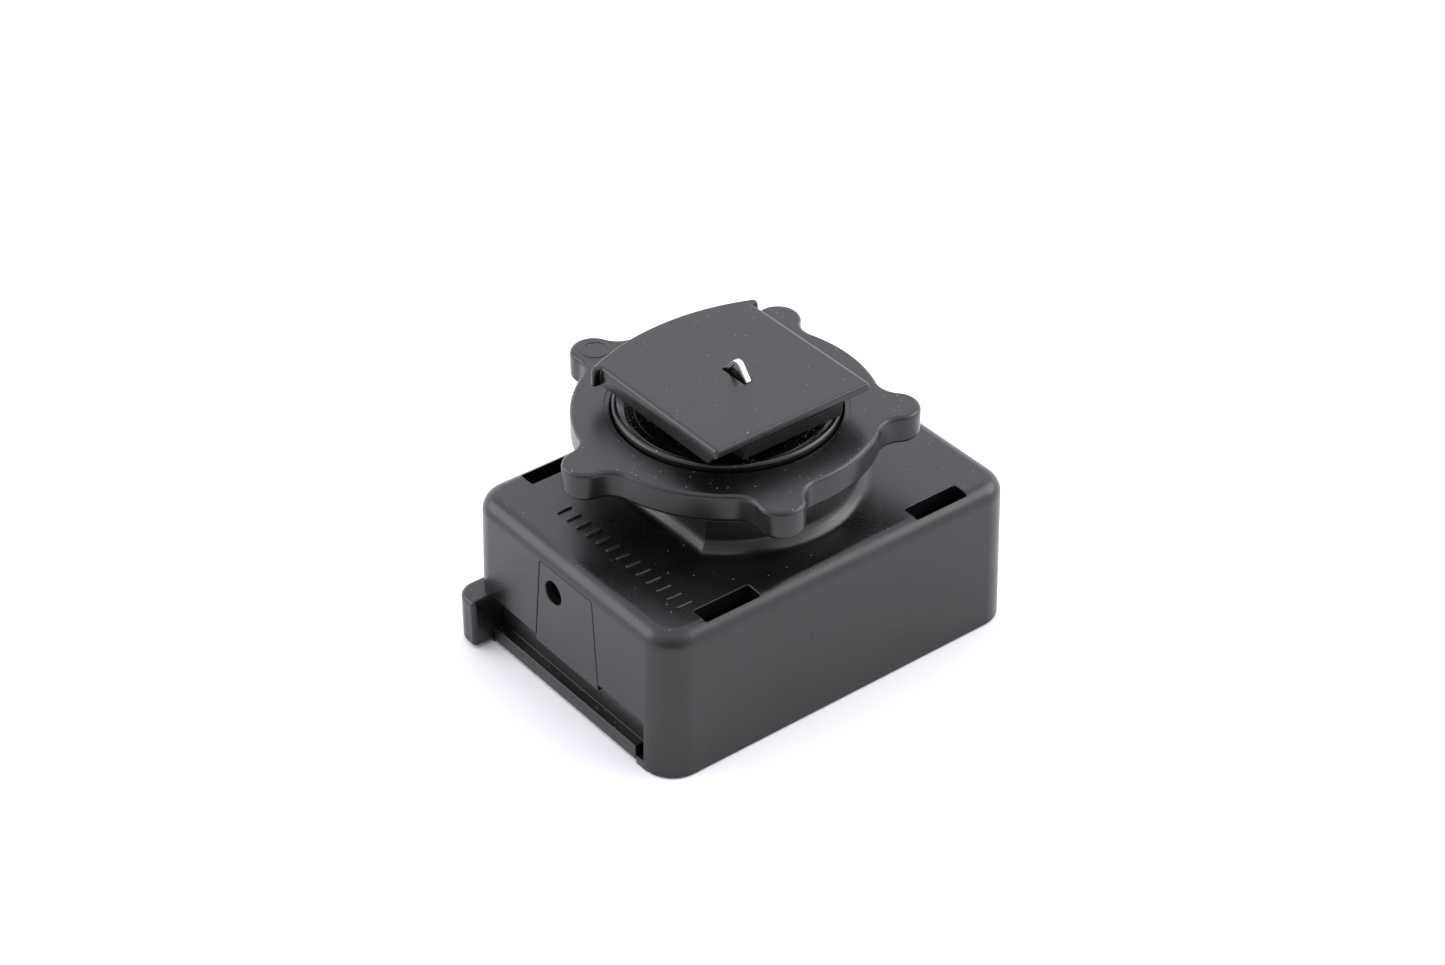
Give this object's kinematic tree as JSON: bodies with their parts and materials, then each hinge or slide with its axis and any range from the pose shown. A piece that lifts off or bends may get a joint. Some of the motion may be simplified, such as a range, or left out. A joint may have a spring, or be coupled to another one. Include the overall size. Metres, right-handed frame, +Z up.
{
  "type": "wireless flash trigger",
  "caption": "Small black optical flash trigger: box housing with a side sensor hole, a lobed locking wheel and a camera-shoe foot with a sprung centre contact.",
  "frame": {"origin": "centre of the housing's bottom face, which faces the flash", "axes": "+X along the long side, away from the sensor panel; +Y towards the rear of the shoe foot; +Z up through the foot"},
  "size_m": [0.0452, 0.0362, 0.0302],
  "materials": {
    "shell_plastic": "fine matte moulded texture",
    "wheel_plastic": "satin moulded texture",
    "disc_plastic": "semi-gloss",
    "foot_plastic": "fine satin",
    "filter": "dark red, polished",
    "nickel": "nickel plated sheet",
    "brass": "turned brass",
    "steel": "zinc plated",
    "board": "green solder mask",
    "clear_epoxy": "clear epoxy",
    "black_epoxy": "moulded epoxy",
    "capacitor_film": "dipped lacquer",
    "ferrite": "sintered ferrite",
    "resistor_body": "lacquered",
    "insulator": "glass-filled plastic",
    "nylon": "natural nylon"
  },
  "bodies": {
    "shell": {"housing": "shell_plastic", "base_cover": "shell_plastic", "sensor_panel": "shell_plastic", "sensor_window": "filter", "foot_plate": "foot_plastic", "foot_retainer": "steel", "foot_screw_left": "steel", "foot_screw_right": "steel", "blade_spring": "steel", "spring_terminal": "brass", "ground_contact": "nickel", "circuit_board": "board", "board_screw_front": "steel", "board_screw_rear": "steel", "photo_sensor": "clear_epoxy", "thyristor": "black_epoxy", "capacitor": "capacitor_film", "choke_coil": "ferrite", "resistor_1": "resistor_body", "resistor_2": "resistor_body", "terminal_block": "insulator", "flash_contact_1": "brass", "flash_contact_2": "brass", "flash_contact_3": "brass", "flash_contact_4": "brass"},
    "clamp_disc": {"pressure_disc": "disc_plastic", "slip_washer": "nylon"},
    "wheel": {"lock_wheel": "wheel_plastic"},
    "centre_contact": {"contact_blade": "nickel"}
  },
  "joints": [
    {"name": "disc_lift", "type": "slide", "parent": "shell", "child": "clamp_disc", "axis": [0, 0, 1], "range_m": [-0.0012, 0.00055]},
    {"name": "wheel_turn", "type": "hinge", "parent": "clamp_disc", "child": "wheel", "pos_m": [0, 0.00243, 0.0229], "axis": [0, 0, 1], "range_deg": [-288.5, 132.5]},
    {"name": "contact_press", "type": "slide", "parent": "shell", "child": "centre_contact", "axis": [0, 0, -1], "range_m": [0, 0.0015], "stiffness_N_per_m": 200, "springref_m": -0.001, "deforming": ["blade_spring"]}
  ],
  "couplings": [
    {"joint": "wheel_turn", "follows": "disc_lift", "rad_per_m": 4188.8}
  ]
}
